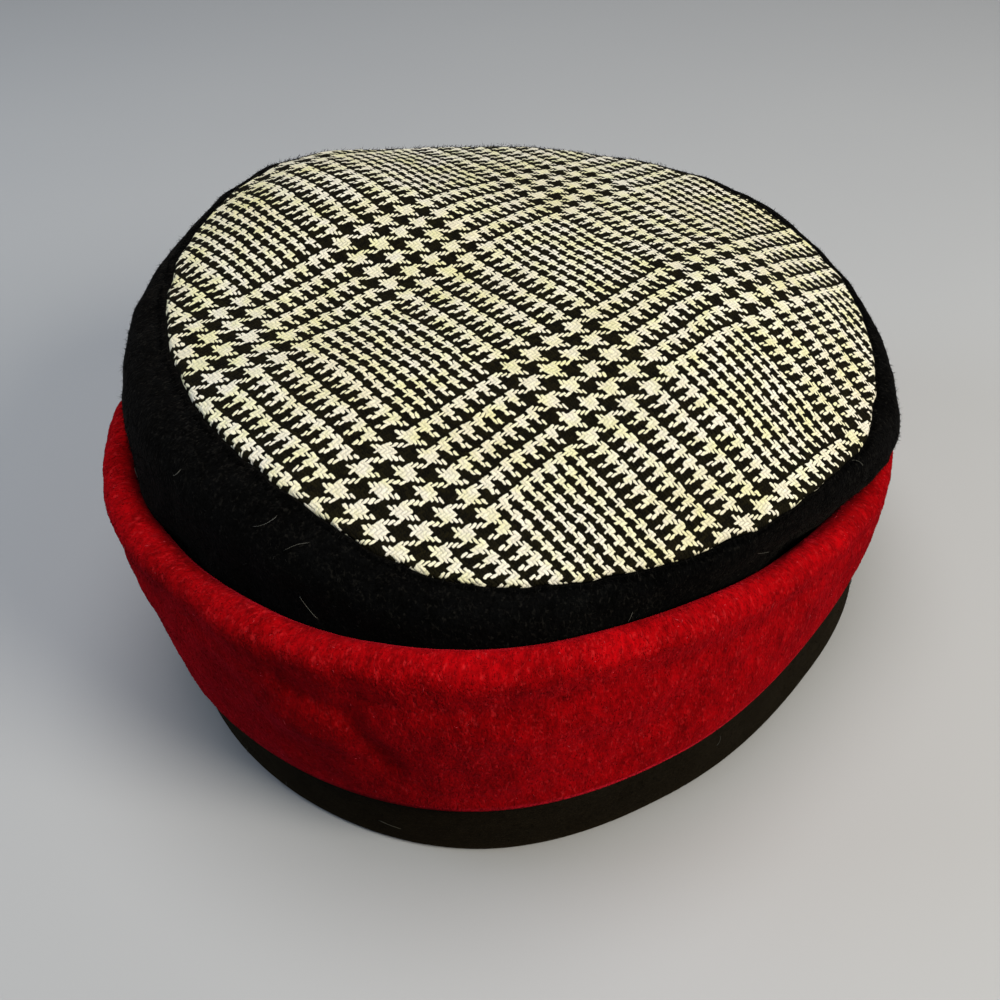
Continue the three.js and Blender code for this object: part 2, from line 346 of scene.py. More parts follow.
def crown_height(share, section):
    """Height of the crown's upper face at a share of the way from the axis to the seam."""
    rows = turns(len(SECTIONS))
    heights = SECTIONS[:, COLUMNS.index("seam_height")]
    level = heights.mean()
    along_x = 2 * (heights * np.cos(rows)).mean()
    along_y = 2 * (heights * np.sin(rows)).mean()
    cos, sin = np.cos(section.angles), np.sin(section.angles)
    tilt = along_x * cos + along_y * sin
    left = section.seam_height - level - tilt
    height = level + tilt * share + left * share ** 2 + DOME_HEIGHT * (1 - share ** DOME_POWER)
    x, y = share * section.seam_radius * cos / MM, share * section.seam_radius * sin / MM
    for at_x, at_y, long, short, turn, rise in CROWN_FORMS:
        c, s = math.cos(math.radians(turn)), math.sin(math.radians(turn))
        along = ((x - at_x) * c + (y - at_y) * s) / long
        across = ((y - at_y) * c - (x - at_x) * s) / short
        height = height + rise * MM * np.exp(-along ** 2 - across ** 2) * (1 - share ** FORM_POWER)
    return height


def seam_ring(angles, level):
    """Points round the crown's seam, for noise that closes on itself."""
    return np.stack([np.cos(angles), np.sin(angles), 0 * angles + level], -1) * SEAM_RING


def seam_pucker(form, angles):
    """The small rise and fall of the crown's seam."""
    ring = seam_ring(angles, 0)
    return form.pucker * (rumple(ring, 11 * MM, 3) + 0.6 * rumple(ring, 26 * MM, 4))


def seam_wander(form, angles):
    """How far the crown's seam strays in and out."""
    ring = seam_ring(angles, 3)
    return form.wander * (rumple(ring, 6 * MM, 13) + 0.8 * rumple(ring, 19 * MM, 14))


def tip_lines(form, section):
    """The crown tip's upper face from the axis to the turned edge: radius and height."""
    edge = section.seam_radius - TIP_INSIDE_SEAM + seam_wander(form, section.angles)
    flat = edge - form.edge_turn
    pucker = seam_pucker(form, section.angles)
    radius, height = [], []
    for k in range(TIP_RINGS + 1):
        r = flat * (k / TIP_RINGS)
        share = r / section.seam_radius
        radius.append(r)
        height.append(crown_height(share, section) + pucker * share ** PUCKER_POWER)
    for k in range(1, TIP_EDGE_RINGS + 1):
        turn = TIP_EDGE_TURN * k / TIP_EDGE_RINGS
        radius.append(flat + form.edge_turn * math.sin(turn))
        height.append(height[TIP_RINGS] - form.edge_turn * (1 - math.cos(turn)))
    return np.array(radius), np.array(height)


def resample(line, count):
    """Lines of [radius, height] points with count points each, evenly spaced."""
    step = np.linalg.norm(np.diff(line, axis=1), axis=2)
    along = np.concatenate([np.zeros((len(line), 1)), np.cumsum(step, 1)], 1)
    made = np.empty((len(line), count, 2))
    for i, (points, length) in enumerate(zip(line, along)):
        places = np.linspace(0, length[-1], count)
        for k in range(2):
            made[i, :, k] = np.interp(places, length, points[:, k])
    return made


def eased(line, passes):
    """Lines with their corners rounded, and their ends kept."""
    for _ in range(passes):
        line[:, 1:-1] = (line[:, :-2] + 2 * line[:, 1:-1] + line[:, 2:]) / 4
    return line


def offset_inwards(line, distance):
    """Lines moved to their inner side, which is on the right of their run down the wall."""
    run = np.gradient(line, axis=1)
    run /= np.linalg.norm(run, axis=2, keepdims=True)
    return line + np.stack([run[..., 1], -run[..., 0]], -1) * distance


def roll_centre(section):
    """The middle of the cuff's rolled top edge, as radius and height."""
    return np.stack([section.hem_radius + section.roll_out, section.roll_height], -1)


def rest_turn(form, section):
    """How far round the roll the side wall comes to rest on it, from the roll's outer side."""
    over = (section.bulge_out - section.roll_out + form.roll_radius) / (2 * form.roll_radius)
    inmost, outmost = REST_TURNS
    return np.radians(inmost - (inmost - outmost) * np.clip(over, 0, 1))


def wall_lines(form, section):
    """The side wall's outer face, from the crown's seam over the bulge and down behind the roll."""
    edge = section.seam_radius + WALL_OUT_OF_SEAM + seam_wander(form, section.angles)
    top = section.seam_height - WALL_UNDER_SEAM + seam_pucker(form, section.angles)
    seam = np.stack([edge, top], -1)
    bulge = np.stack([section.hem_radius + section.bulge_out, section.bulge_height], -1)
    parts = []
    for turn in np.linspace(0, math.pi / 2, BULGE_POINTS):
        share = np.array([math.sin(turn) ** BULGE_POWER, 1 - math.cos(turn) ** BULGE_POWER])
        parts.append(seam + (bulge - seam) * share)
    reach = form.roll_radius + WALL_OFF_ROLL
    centre = roll_centre(section)
    rest = rest_turn(form, section)
    for turn in (rest, (rest + NECK_TURN) / 2, np.full_like(rest, NECK_TURN)):
        parts.append(centre + reach * np.stack([np.cos(turn), np.sin(turn)], -1))
    parts.append(np.stack([section.hem_radius - WALL_BEHIND_HEM,
                           section.hem_top + WALL_ABOVE_HEM], -1))
    return eased(resample(np.stack(parts, 1), WALL_POINTS), 4)


def cuff_lines(form, section):
    """The cuff's outer line from its foot over the roll to the inner foot, and its cloth there."""
    centre = roll_centre(section)
    low = section.hem_top - CUFF_UNDER_HEM_TOP
    foot = np.stack([section.hem_radius + FACE_OUT_OF_HEM, low], -1)
    inner = np.stack([section.hem_radius + BACK_OUT_OF_HEM, low], -1)
    tall = section.roll_height - section.hem_top
    points, inward, room = [], [], []
    for t in np.linspace(0, 1, FACE_POINTS, endpoint=False):
        out = math.sin(math.pi / 2 * t)
        r = foot[:, 0] + (centre[:, 0] + form.roll_radius - foot[:, 0]) * out
        pinch = FACE_PINCH * math.exp(-((t - PINCH_AT) / PINCH_WIDTH) ** 2)
        r = r + tall * (FACE_SWELL * math.sin(math.pi * t) - pinch)
        z = foot[:, 1] + (centre[:, 1] - foot[:, 1]) * t
        points.append(np.stack([r, z], -1))
        inward.append(np.broadcast_to([-1.0, 0.0], points[-1].shape))
        back = inner[:, 0] + (centre[:, 0] - form.roll_radius - inner[:, 0]) * t
        room.append(r - back)
    for turn in np.linspace(0, math.pi, ROLL_POINTS):
        way = np.array([math.cos(turn), math.sin(turn)])
        points.append(centre + form.roll_radius * way)
        inward.append(np.broadcast_to(-way, centre.shape))
        room.append(np.full(len(centre), 2 * form.roll_radius))
    for t in np.linspace(1, 0, BACK_POINTS)[1:]:
        r = inner[:, 0] + (centre[:, 0] - form.roll_radius - inner[:, 0]) * t
        z = inner[:, 1] + (centre[:, 1] - inner[:, 1]) * t
        points.append(np.stack([r, z], -1))
        inward.append(np.broadcast_to([1.0, 0.0], points[-1].shape))
        out = math.sin(math.pi / 2 * t)
        room.append(foot[:, 0] + (centre[:, 0] + form.roll_radius - foot[:, 0]) * out - r)
    cloth = np.minimum(form.cuff_cloth, CLOTH_SHARE * np.stack(room, 1))
    return np.stack(points, 1), np.stack(inward, 1), cloth


def hem_lines(form, section):
    """The hem band's closed outline, from its outer top edge down and round to the inner one."""
    half = form.hem_cloth / 2
    middle = section.hem_radius - half
    points = []
    for t in np.linspace(1, 0, HEM_FACE_POINTS, endpoint=False):
        points.append(np.stack([middle + half, half + (section.hem_top - half) * t], -1))
    for turn in np.linspace(0, math.pi, HEM_TURN_POINTS):
        points.append(np.stack([middle + half * math.cos(turn),
                                np.full_like(middle, half * (1 - math.sin(turn)))], -1))
    for t in np.linspace(0, 1, HEM_BACK_POINTS)[1:]:
        points.append(np.stack([middle - half, half + (section.hem_top - half) * t], -1))
    return np.stack(points, 1)


def turned(lines, angles):
    """Points in space from lines of [radius, height] at each angle."""
    radius, height = lines[..., 0], lines[..., 1]
    cos, sin = np.cos(angles)[:, None], np.sin(angles)[:, None]
    return np.stack([AXIS.x + radius * cos, AXIS.y + radius * sin, height], -1)


def facing(grid):
    """The outward normal at each point of a grid that closes around, [around, along, 3]."""
    over = np.roll(grid, -1, 0) - np.roll(grid, 1, 0)
    down = np.gradient(grid, axis=1)
    normal = np.cross(down, over)
    return normal / np.maximum(np.linalg.norm(normal, axis=2, keepdims=True), 1e-12)


def run_along(grid):
    """How far along its line each point of a grid is."""
    step = np.linalg.norm(np.diff(grid, axis=1), axis=2)
    return np.concatenate([np.zeros((len(grid), 1)), np.cumsum(step, 1)], 1)


def wall_face(form, count):
    """The side wall's outer face as a grid of points, with its lumps and nap."""
    angles = turns(count)
    lines = wall_lines(form, Section(angles))
    grid = turned(lines, angles)
    normal = facing(grid)
    near = np.sin(np.linspace(0, math.pi, grid.shape[1])) ** 0.5
    over_roll = grid[..., 2] - around("roll_height", angles)[:, None] - SAG_HEIGHT
    lumps = lumps_of(WALL_LUMPS, grid)
    lumps += lumps_of(WALL_SAG, grid) * np.exp(-(over_roll / SAG_WIDTH) ** 2)
    return grid + normal * (lumps * near)[..., None], angles


def creases(angles, share):
    """How far the cuff's creases stand out, at angles and shares of its face's height."""
    out = np.zeros(np.broadcast_shapes(angles.shape, share.shape))
    for start, end, wide, high in CUFF_CREASES:
        begin, finish = (np.array([math.radians(turn), up]) * CREASE_REACH
                         for turn, up in (start, end))
        way = finish - begin
        x = angles * CREASE_REACH[0] - begin[0]
        y = share * CREASE_REACH[1] - begin[1]
        along = np.clip((x * way[0] + y * way[1]) / way.dot(way), 0, 1)
        gap = np.hypot(x - along * way[0], y - along * way[1])
        taper = 0.35 + 0.65 * np.sin(math.pi * np.clip(along, 0.12, 0.88))  # lower at its ends
        out = out + high * MM * taper * np.exp(-(gap / (wide * MM)) ** 2)
    return out


def cuff_face(form, count):
    """The cuff's outer line all round as a grid of points, with the inner side of its cloth."""
    angles = turns(count)
    lines, inward, cloth = cuff_lines(form, Section(angles))
    grid = turned(lines, angles)
    cos, sin = np.cos(angles)[:, None], np.sin(angles)[:, None]
    into = np.stack([inward[..., 0] * cos, inward[..., 0] * sin, inward[..., 1]], -1)
    inner = grid + into * cloth[..., None]
    from_foot, from_back = run_along(grid), run_along(grid[:, ::-1])[:, ::-1]
    free = np.clip(from_foot / CUFF_HELD, 0, 1) * np.clip(from_back / CUFF_HELD, 0, 1)
    point = np.arange(grid.shape[1])
    behind = np.where(point > FACE_POINTS + ROLL_IN_SIGHT, HIDDEN_LUMPS, 1.0)
    on_roll = np.exp(-((point - FACE_POINTS - ROLL_LUMPS_AT) / ROLL_LUMPS_WIDTH) ** 2)
    share = np.clip(point / FACE_POINTS, 0, 1)[None, :]
    lumps = lumps_of(CUFF_LUMPS, grid) + lumps_of(ROLL_LUMPS, grid) * on_roll
    lumps += creases(angles[:, None], share)
    shift = facing(grid) * (lumps * free * behind)[..., None]
    return grid + shift, inner + 0.5 * shift, angles


# ------------------------------------------------------------------------------- making the pieces


def ring_faces(around_count, line_count):
    """Quads of a grid that closes around, and along its line too."""
    i = np.arange(around_count)[:, None]
    j = np.arange(line_count)[None, :]
    i_next, j_next = (i + 1) % around_count, (j + 1) % line_count
    quads = [i * line_count + j, i * line_count + j_next, i_next * line_count + j_next,
             i_next * line_count + j]
    return np.stack(np.broadcast_arrays(*quads), -1).reshape(-1, 4)


def add_mesh(mesh, material):
    """Puts a finished mesh on the hat, smooth shaded, as a piece with the mesh's name."""
    mesh.shade_smooth()
    mesh.materials.append(material)
    piece = bpy.data.objects.new(mesh.name, mesh)
    bpy.context.scene.collection.objects.link(piece)
    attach(piece, "root")
    return piece


def make_piece(name, points, faces, cloth_place, material, node):
    """Adds one cloth of the hat, and hides the CAD solid that it stands for."""
    mesh = bpy.data.meshes.new(name)
    mesh.from_pydata(points.reshape(-1, 3).tolist(), [], [list(f) for f in faces])
    place = mesh.attributes.new("cloth_place", "FLOAT_VECTOR", "POINT")
    place.data.foreach_set("vector", np.ascontiguousarray(cloth_place, np.float32).ravel())
    piece = add_mesh(mesh, material)
    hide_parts(node)
    return piece


def seamless_place(angles, along):
    """Where each point is on its cloth: round the hat in x and y, and along the section in z."""
    radius = 0.1
    ring = np.stack([radius * np.cos(angles), radius * np.sin(angles)], -1)[:, None, :]
    ring = np.broadcast_to(ring, along.shape + (2,))
    return np.concatenate([ring, along[..., None]], -1)


# ------------------------------------------------------------------------------- shader groups


class Tree:
    """A node tree with short calls for adding nodes and sums to it."""

    def __init__(self, tree):
        self.tree = tree

    def node(self, kind, **settings):
        made = self.tree.nodes.new(kind)
        for key, value in settings.items():
            setattr(made, key, value)
        return made

    def link(self, source, target):
        self.tree.links.new(source, target)

    def feed(self, target, value):
        """Links a socket to the target, or sets it to a plain value."""
        if isinstance(value, bpy.types.NodeSocket):
            self.link(value, target)
        else:
            target.default_value = value

    def sum(self, operation, *values):
        """A Math node's result from numbers or sockets."""
        made = self.node("ShaderNodeMath", operation=operation)
        for socket, value in zip(made.inputs, values):
            self.feed(socket, value)
        return made.outputs[0]

    def vector(self, x, y, z):
        made = self.node("ShaderNodeCombineXYZ")
        for socket, value in zip(made.inputs, (x, y, z)):
            self.feed(socket, value)
        return made.outputs[0]

    def stretch(self, vector, scale):
        """A vector or a colour, each part of it times its own scale."""
        made = self.node("ShaderNodeVectorMath", operation="MULTIPLY")
        self.feed(made.inputs[0], vector)
        self.feed(made.inputs[1], scale)
        return made.outputs[0]

    def noise(self, vector, scale, detail, roughness=0.5):
        made = self.node("ShaderNodeTexNoise")
        for name, value in (("Vector", vector), ("Scale", scale), ("Detail", detail),
                            ("Roughness", roughness)):
            self.feed(made.inputs[name], value)
        return made.outputs["Fac"]

    def span(self, value, low, high, to_low=0.0, to_high=1.0):
        """A value brought from one range to another, and kept inside it."""
        made = self.node("ShaderNodeMapRange")
        for socket, number in zip(made.inputs, (value, low, high, to_low, to_high)):
            self.feed(socket, number)
        return made.outputs[0]

    def blend(self, share, first, second, kind="MIX"):
        """A colour that goes from the first to the second as the share grows."""
        made = self.node("ShaderNodeMix", data_type="RGBA", blend_type=kind)
        self.feed(made.inputs[0], share)
        for socket, value in zip(made.inputs[6:8], (first, second)):
            if not isinstance(value, bpy.types.NodeSocket):
                value = (*value[:3], 1.0)
            self.feed(socket, value)
        return made.outputs[2]


def new_group(name, inputs, outputs):
    """An empty shader group with the named sockets, each input with its default."""
    group = bpy.data.node_groups.new(name, "ShaderNodeTree")
    for socket, (kind, default) in inputs.items():
        made = group.interface.new_socket(socket, in_out="INPUT", socket_type="NodeSocket" + kind)
        if default is not None:
            made.default_value = default
    for socket, kind in outputs.items():
        group.interface.new_socket(socket, in_out="OUTPUT", socket_type="NodeSocket" + kind)
    tree = Tree(group)
    source = tree.node("NodeGroupInput")
    target = tree.node("NodeGroupOutput")
    return tree, source.outputs, target.inputs


def light_threads(tree, thread, start, repeat, twos_end):
    """1 where a thread of the glen check is light: fours, then twos, then a dark stripe."""
    place = tree.sum("FLOORED_MODULO", tree.sum("ADD", thread, start), repeat)
    fours = tree.sum("LESS_THAN", tree.sum("FLOORED_MODULO", place, 8.0), 3.5)
    twos = tree.sum("GREATER_THAN", tree.sum("FLOORED_MODULO", place, 4.0), 1.5)
    in_fours = tree.sum("LESS_THAN", place, FOURS_END - 0.5)
    in_twos = tree.sum("MULTIPLY", tree.sum("GREATER_THAN", place, FOURS_END - 0.5),
                       tree.sum("LESS_THAN", place, twos_end - 0.5))
    return tree.sum("ADD", tree.sum("MULTIPLY", fours, in_fours),
                    tree.sum("MULTIPLY", twos, in_twos))


def glen_check_group():
    """Glen check in a two-and-two twill, from thread counts in x and y."""
    tree, given, made = new_group(
        "Glen Check Twill",
        {"Threads": ("Vector", None), "Light Thread": ("Color", (0.8, 0.8, 0.7, 1)),
         "Dark Thread": ("Color", (0.01, 0.01, 0.01, 1)), "Light Width": ("Float", 0.5),
         "Thread Variation": ("Float", 0.1)},
        {"Color": "Color", "Height": "Float"})
    split = tree.node("ShaderNodeSeparateXYZ")
    tree.link(given["Threads"], split.inputs[0])
    # which thread it is each way, how far across it, and whether u's thread lies on top of v's
    u, v = split.outputs[0], split.outputs[1]
    thread_u, thread_v = tree.sum("FLOOR", u), tree.sum("FLOOR", v)
    part_u, part_v = tree.sum("SUBTRACT", u, thread_u), tree.sum("SUBTRACT", v, thread_v)
    step = tree.sum("FLOORED_MODULO",
                    tree.sum("ADD", tree.sum("SUBTRACT", thread_u, thread_v), 3.0), 4.0)
    up = tree.sum("LESS_THAN", step, 1.5)
    down = tree.sum("SUBTRACT", 1.0, up)

    def either(first, second):
        return tree.sum("ADD", tree.sum("MULTIPLY", up, first), tree.sum("MULTIPLY", down, second))

    light_u = light_threads(tree, thread_u, *ACROSS_COUNT)
    light_v = light_threads(tree, thread_v, *ALONG_COUNT)
    # the place across and along the stretch of thread that lies over two others
    across = either(part_u, part_v)
    along = either(tree.sum("ADD", tree.sum("SUBTRACT", 1.0, step), part_v),
                   tree.sum("ADD", tree.sum("SUBTRACT", step, 2.0), part_u))
    middle = tree.sum("SINE", tree.sum("MULTIPLY", along, math.pi / 2))
    off = tree.sum("ABSOLUTE", tree.sum("MULTIPLY_ADD", across, 2.0, -1.0))
    # each of these stretches has its own tone and width, and is widest in its middle
    each = tree.node("ShaderNodeTexWhiteNoise", noise_dimensions="3D")
    first = either(tree.sum("SUBTRACT", tree.sum("ADD", thread_v, step), 1.0),
                   tree.sum("ADD", tree.sum("SUBTRACT", thread_u, step), 2.0))
    tree.link(tree.vector(either(thread_u, thread_v), first, tree.sum("MULTIPLY", up, 7.0)),
              each.inputs["Vector"])
    float_tone = tree.sum("SUBTRACT", each.outputs["Value"], 0.5)
    reach = tree.sum("MULTIPLY_ADD", middle, 0.26, given["Light Width"])
    reach = tree.sum("MULTIPLY_ADD", float_tone, 0.24, reach)
    beside = tree.span(tree.sum("SUBTRACT", off, reach), -0.12, 0.12)
    covered = tree.sum("MAXIMUM", tree.sum("SUBTRACT", 1.0, beside), either(light_v, light_u))
    light = tree.sum("MULTIPLY", either(light_u, light_v), covered)
    # the thread's round height, and the slanting plies of its twist
    side = tree.sum("POWER", tree.sum("SINE", tree.sum("MULTIPLY", across, math.pi)), 0.6)
    length = tree.sum("POWER", middle, 0.5)
    height = tree.sum("MULTIPLY", side, tree.sum("MULTIPLY_ADD", length, 0.6, 0.4))
    twist = tree.sum("SINE", tree.sum("MULTIPLY", math.pi,
                                      tree.sum("ADD", tree.sum("MULTIPLY", along, 3.0),
                                               tree.sum("MULTIPLY", across, 2.0))))
    # each float's own tone, plus painted shade along the slanting plies of its twist
    tone = tree.sum("ADD", float_tone, tree.sum("MULTIPLY", twist, 0.35))
    swing = tree.sum("MULTIPLY", given["Thread Variation"],
                     tree.sum("MULTIPLY_ADD", light, -6.0, 7.0))
    tone = tree.sum("MULTIPLY_ADD", tone, swing, 1.0)
    # painted shade: the colour darkens towards each float's edges and ends, where the threads meet
    painted_gap_shade = tree.span(height, 0.0, 0.75, 0.70, 1.0)
    colour = tree.blend(light, given["Dark Thread"], given["Light Thread"])
    shade = tree.sum("MULTIPLY", tone, painted_gap_shade)
    shaded = tree.node("ShaderNodeVectorMath", operation="SCALE")
    tree.link(colour, shaded.inputs[0])
    tree.link(shade, shaded.inputs["Scale"])
    tree.link(shaded.outputs[0], made["Color"])
    tree.link(tree.sum("MULTIPLY_ADD", twist, 0.06, height), made["Height"])
    return tree.tree


def fleece_nap_group():
    """Napped cloth: clumps, fine fibres along the nap, and scattered flecks."""
    tree, given, made = new_group(
        "Fleece Nap",
        {"Vector": ("Vector", None), "Color": ("Color", (0.5, 0.5, 0.5, 1)),
         "Fleck Color": ("Color", (0.8, 0.8, 0.8, 1)), "Clump Scale": ("Float", 420.0),
         "Mottle": ("Float", 0.4), "Fibre Stretch": ("Vector", (1.0, 1.0, 0.4)),
         "Flecks": ("Float", 0.1)},
        {"Color": "Color", "Height": "Float"})
    # broad mottling, clumps and fine fibres lighten and darken the cloth's colour; where the nap's
    # clumps and fibres lie low the colour is darker, as painted shade in the nap's hollows
    combed = tree.stretch(given["Vector"], given["Fibre Stretch"])
    broad = tree.noise(given["Vector"], tree.sum("MULTIPLY", given["Clump Scale"], 0.12), 3.0)
    clump = tree.noise(combed, given["Clump Scale"], 3.0, 0.6)
    fibre = tree.noise(combed, tree.sum("MULTIPLY", given["Clump Scale"], 4.0), 2.0, 0.7)
    nap = tree.sum("ADD", tree.sum("MULTIPLY", clump, 0.6), tree.sum("MULTIPLY", fibre, 0.4))
    depth = tree.span(nap, 0.34, 0.66, -1.0, 1.0)
    depth = tree.sum("ADD", depth, tree.span(broad, 0.3, 0.7, -0.6, 0.6))
    tone = tree.sum("MAXIMUM", 0.05, tree.sum("MULTIPLY_ADD", depth, given["Mottle"], 1.0))
    shaded = tree.node("ShaderNodeVectorMath", operation="SCALE")
    tree.link(given["Color"], shaded.inputs[0])
    tree.link(tone, shaded.inputs["Scale"])
    # curled fibres and spots in groups take the fleck's colour
    curl = tree.noise(combed, tree.sum("MULTIPLY", given["Clump Scale"], 1.7), 1.5)
    curl = tree.span(tree.sum("ABSOLUTE", tree.sum("SUBTRACT", curl, 0.5)), 0.0, 0.06, 1.0, 0.0)
    group = tree.noise(given["Vector"], tree.sum("MULTIPLY", given["Clump Scale"], 0.5), 2.0)
    broken = tree.noise(given["Vector"], tree.sum("MULTIPLY", given["Clump Scale"], 3.0), 1.0)
    curl = tree.sum("MULTIPLY", curl, tree.span(broken, 0.44, 0.60))
    tuft = tree.sum("MULTIPLY", curl, tree.span(group, 0.42, 0.62, 0.15, 0.8))
    spots = tree.noise(combed, tree.sum("MULTIPLY", given["Clump Scale"], 2.6), 1.0)
    tuft = tree.sum("MAXIMUM", tuft, tree.span(spots, 0.60, 0.74))
    tuft = tree.sum("MULTIPLY", tuft, given["Flecks"])
    tree.link(tree.blend(tuft, shaded.outputs[0], given["Fleck Color"]), made["Color"])
    tree.link(tree.sum("MULTIPLY_ADD", tuft, 0.4, nap), made["Height"])
    return tree.tree


def cloth_tone_group():
    """Slow change of tone over a cloth, warmer and darker in places, as handling leaves it."""
    tree, given, made = new_group(
        "Cloth Tone",
        {"Vector": ("Vector", None), "Color": ("Color", (0.5, 0.5, 0.5, 1)),
         "Worn Color": ("Color", (0.5, 0.45, 0.3, 1)), "Amount": ("Float", 0.2),
         "Scale": ("Float", 18.0)},
        {"Color": "Color"})
    drift = tree.noise(given["Vector"], given["Scale"], 3.0, 0.6)
    share = tree.sum("MULTIPLY", tree.span(drift, 0.42, 0.68), given["Amount"])
    tree.link(tree.blend(share, given["Color"], given["Worn Color"], "MULTIPLY"), made["Color"])
    return tree.tree


def shared_group(name):
    """A shader group by name, built the first time it is asked for."""
    makers = {"Glen Check Twill": glen_check_group, "Fleece Nap": fleece_nap_group,
              "Cloth Tone": cloth_tone_group}
    return bpy.data.node_groups.get(name) or makers[name]()


def new_material(name, roughness, specular, sheen=0.0, sheen_tint=(1, 1, 1)):
    """A material with its shader set up for cloth, its tree helper and the shader's sockets."""
    material = bpy.data.materials.new(name)
    material.use_nodes = True
    shader = material.node_tree.nodes["Principled BSDF"]
    shader.inputs["Roughness"].default_value = roughness
    shader.inputs["Sheen Weight"].default_value = sheen
    shader.inputs["Sheen Roughness"].default_value = 0.4
    shader.inputs["Sheen Tint"].default_value = (*sheen_tint, 1.0)
    shader.inputs["Specular IOR Level"].default_value = specular
    return material, Tree(material.node_tree), shader


def place_group(tree, name, **values):
    """Puts a shared group into a material with its own values."""
    node = tree.node("ShaderNodeGroup", node_tree=shared_group(name))
    for key, value in values.items():
        socket = node.inputs[key.replace("_", " ")]
        if not isinstance(value, bpy.types.NodeSocket) and socket.type == "RGBA":
            value = (*value[:3], 1.0)
        tree.feed(socket, value)
    return node


def add_bump(tree, shader, height, distance):
    """Feeds a height through a Bump node to the shader's normal."""
    bump = tree.node("ShaderNodeBump")
    bump.inputs["Strength"].default_value = 1.0
    bump.inputs["Distance"].default_value = distance
    tree.link(height, bump.inputs["Height"])
    tree.link(bump.outputs["Normal"], shader.inputs["Normal"])


def check_cloth(cloth):
    """The crown tip's glen check."""
    material, tree, shader = new_material("glen check cloth", roughness=0.82, specular=0.06)
    threads = tree.node("ShaderNodeAttribute", attribute_name="cloth_place")
    place = tree.node("ShaderNodeTexCoord").outputs["Object"]
    shifted = threads.outputs["Vector"]
    for scale, reach in THREAD_WANDER:
        wander = tree.node("ShaderNodeTexNoise")
        tree.link(place, wander.inputs["Vector"])
        wander.inputs["Scale"].default_value = scale
        wander.inputs["Detail"].default_value = 1
        away = tree.node("ShaderNodeVectorMath", operation="SUBTRACT")
        tree.link(wander.outputs["Color"], away.inputs[0])
        away.inputs[1].default_value = (0.5, 0.5, 0.5)
        shift = tree.node("ShaderNodeVectorMath", operation="MULTIPLY_ADD")
        tree.link(away.outputs[0], shift.inputs[0])
        shift.inputs[1].default_value = (reach, reach, 0)
        tree.link(shifted, shift.inputs[2])
        shifted = shift.outputs[0]
    weave = place_group(tree, "Glen Check Twill", Threads=shifted,
                        Light_Thread=cloth.light_thread, Dark_Thread=cloth.dark_thread,
                        Light_Width=0.58, Thread_Variation=0.14)
    tone = place_group(tree, "Cloth Tone", Vector=place, Color=weave.outputs["Color"],
                       Worn_Color=(0.93, 0.88, 0.66), Amount=0.6, Scale=22.0)
    tint = place_group(tree, "Cloth Tone", Vector=place, Color=tone.outputs["Color"],
                       Worn_Color=(0.95, 0.98, 0.62), Amount=0.75, Scale=130.0)
    tree.link(tint.outputs["Color"], shader.inputs["Base Color"])
    add_bump(tree, shader, weave.outputs["Height"], 0.24 * MM)
    return material


def fleece(name, colour, fleck, flecks, clump, mottle, stretch, bump, sheen, sheen_tint,
           folded=False):
    """A napped cloth in one colour, with flecks of lighter fibre, and painted shade in a fold's
    corner.
    """
    material, tree, shader = new_material(name, 0.95, 0.02, sheen, sheen_tint)
    place = tree.node("ShaderNodeAttribute", attribute_name="cloth_place").outputs["Vector"]
    nap = place_group(tree, "Fleece Nap", Vector=place, Color=colour, Fleck_Color=fleck,
                      Clump_Scale=clump, Mottle=mottle, Fibre_Stretch=stretch, Flecks=flecks)
    tone = place_group(tree, "Cloth Tone", Vector=place, Color=nap.outputs["Color"],
                       Worn_Color=(0.8, 0.75, 0.7), Amount=0.5, Scale=30.0)
    shown = tone.outputs["Color"]
    # painted shade: where the cloth is folded, its colour darkens towards the corner at the wall
    if folded:
        depth = tree.node("ShaderNodeAttribute", attribute_name="fold_depth").outputs["Fac"]
        dark = tree.stretch(shown, CORNER_SHADE)
        shown = tree.blend(tree.sum("POWER", depth, CORNER_POWER), shown, dark)
    tree.link(shown, shader.inputs["Base Color"])
    add_bump(tree, shader, nap.outputs["Height"], bump)
    return material


def fibre_colours(name, root, tip, odd, odd_share):
    """Raised fibres: darker at the root, lighter at the tip, and a few of an odd colour."""
    material, tree, shader = new_material(name, roughness=0.9, specular=0.02)
    strand = tree.node("ShaderNodeUVMap", uv_map="OFBake")
    split = tree.node("ShaderNodeSeparateXYZ")
    tree.link(strand.outputs[0], split.inputs[0])
    colour = tree.blend(split.outputs[1], root, tip)
    rare = tree.sum("GREATER_THAN", split.outputs[0], 1 - odd_share)
    tree.link(tree.blend(rare, colour, odd), shader.inputs["Base Color"])
    return material


# ------------------------------------------------------------------------------- the operators


